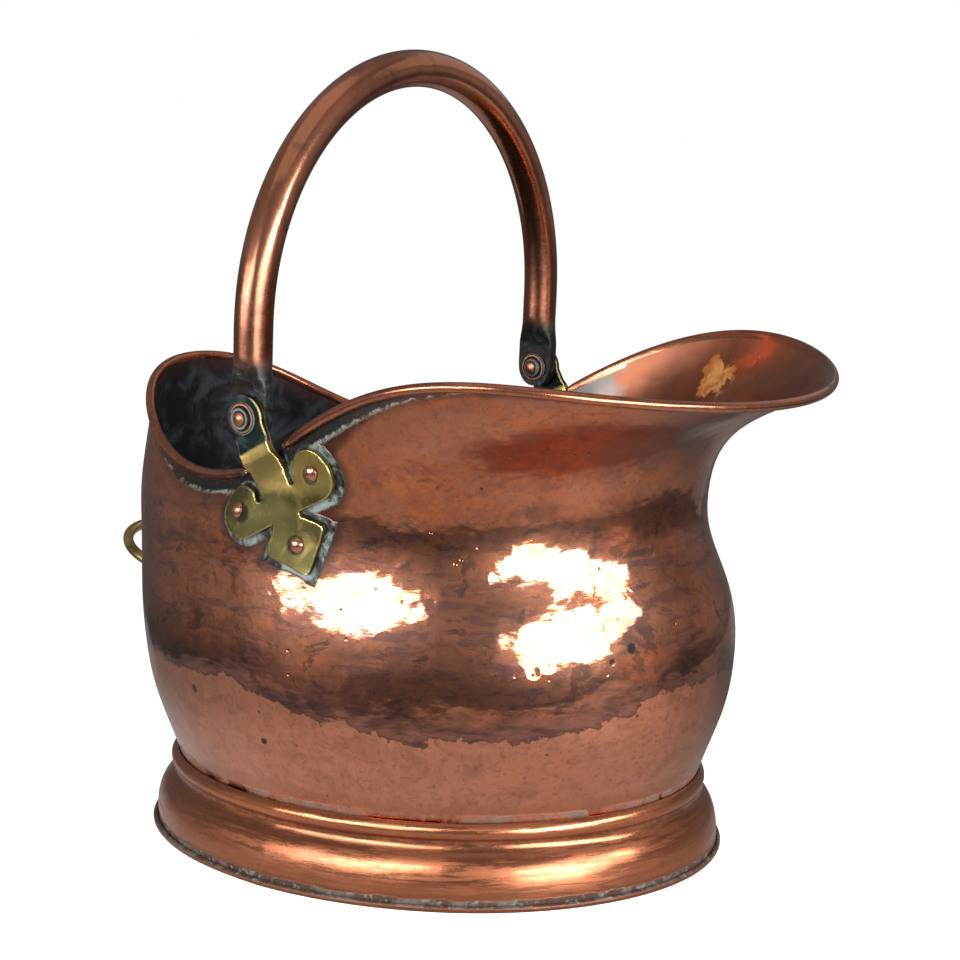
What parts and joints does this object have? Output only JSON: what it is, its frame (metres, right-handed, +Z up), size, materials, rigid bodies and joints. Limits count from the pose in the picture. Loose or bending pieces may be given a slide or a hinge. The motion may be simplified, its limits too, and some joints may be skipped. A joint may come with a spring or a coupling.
{
  "type": "ash bucket",
  "caption": "Hammered copper ash bucket in the helmet form: oval belly on a moulded foot, raised hood, wide pouring spout, tall swing handle on brass lugs and a fixed rear grip.",
  "frame": {"origin": "on the floor, under the middle of the whole length, on the plane of symmetry", "axes": "+X towards the spout, +Y to the bucket's left, +Z up"},
  "size_m": [0.4776, 0.3144, 0.4604],
  "materials": {
    "sheet_copper": "hammered copper sheet, worn bright on the belly, brown patina near the rim",
    "foot_copper": "smooth copper with patina in the cove",
    "handle_copper": "smooth copper tube, darkened at the flattened ends",
    "rivet_copper": "hammered copper",
    "washer_copper": "dull copper with dark patina",
    "lug_brass": "cast brass, worn satin",
    "grip_brass": "polished brass",
    "iron_wire": "dark iron wire"
  },
  "bodies": {
    "bucket": {"body_sheet": "sheet_copper", "front_rim_wire": "iron_wire", "rear_rim_wire": "iron_wire", "bottom_plate": "sheet_copper", "foot_ring": "foot_copper", "foot_wire": "iron_wire", "lug_right": "lug_brass", "lug_left": "lug_brass", "lug_rivets_right": "rivet_copper", "lug_rivets_left": "rivet_copper", "pivot_rivet_right": "rivet_copper", "pivot_rivet_left": "rivet_copper", "outer_washer_right": "washer_copper", "outer_washer_left": "washer_copper", "pivot_ring_right": "washer_copper", "pivot_ring_left": "washer_copper", "inner_washer_right": "washer_copper", "inner_washer_left": "washer_copper", "rear_grip": "grip_brass", "grip_discs": "grip_brass", "grip_roves": "grip_brass"},
    "handle": {"bail_handle": "handle_copper"}
  },
  "joints": [
    {"name": "handle_swing", "type": "hinge", "parent": "bucket", "child": "handle", "pos_m": [-0.0231, 0, 0.264], "axis": [0, 1, 0], "range_deg": [-87, 71]}
  ]
}
